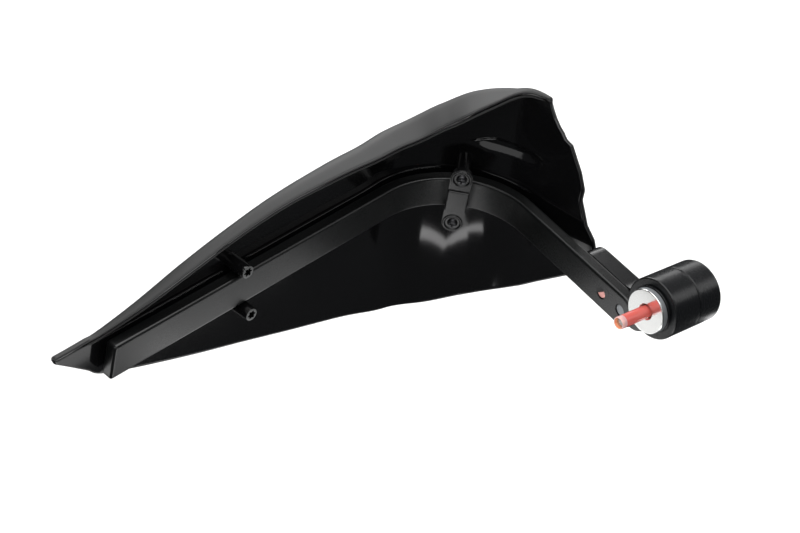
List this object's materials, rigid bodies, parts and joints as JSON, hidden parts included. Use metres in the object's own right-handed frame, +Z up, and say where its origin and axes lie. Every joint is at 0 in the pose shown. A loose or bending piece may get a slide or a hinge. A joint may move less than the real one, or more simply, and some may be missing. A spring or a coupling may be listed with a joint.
{
  "type": "motorcycle hand guard",
  "caption": "Right-hand motorcycle hand guard: moulded shell on a bent flat-bar backbone, with an arm, weight, spacer and bolt for the handlebar's end.",
  "frame": {"origin": "centre of the spacer's bright face, which seats on the handlebar's end", "axes": "+X outboard along the bar end's axis, +Y forward, +Z up; it is the right-hand guard"},
  "size_m": [0.2693, 0.1799, 0.1411],
  "materials": {
    "shell_plastic": "gloss",
    "bar_alloy": "satin black anodised",
    "clamp_plastic": "satin",
    "black_steel": "black oxide",
    "arm_alloy": "satin black",
    "spacer_alloy": "machined",
    "weight_alloy": "satin black anodised",
    "bolt_steel": "zinc",
    "sleeve_plastic": "translucent"
  },
  "bodies": {
    "root": {"guard_shell": "shell_plastic", "backbone": "bar_alloy", "saddle_clamp": "clamp_plastic", "clamp_screw_upper": "black_steel", "clamp_screw_lower": "black_steel", "connector_arm": "arm_alloy", "arm_screw_front": "black_steel", "arm_screw_rear": "black_steel", "bar_spacer": "spacer_alloy", "end_weight": "weight_alloy", "end_bolt": "bolt_steel", "thread_sleeve": "sleeve_plastic"}
  },
  "joints": []
}
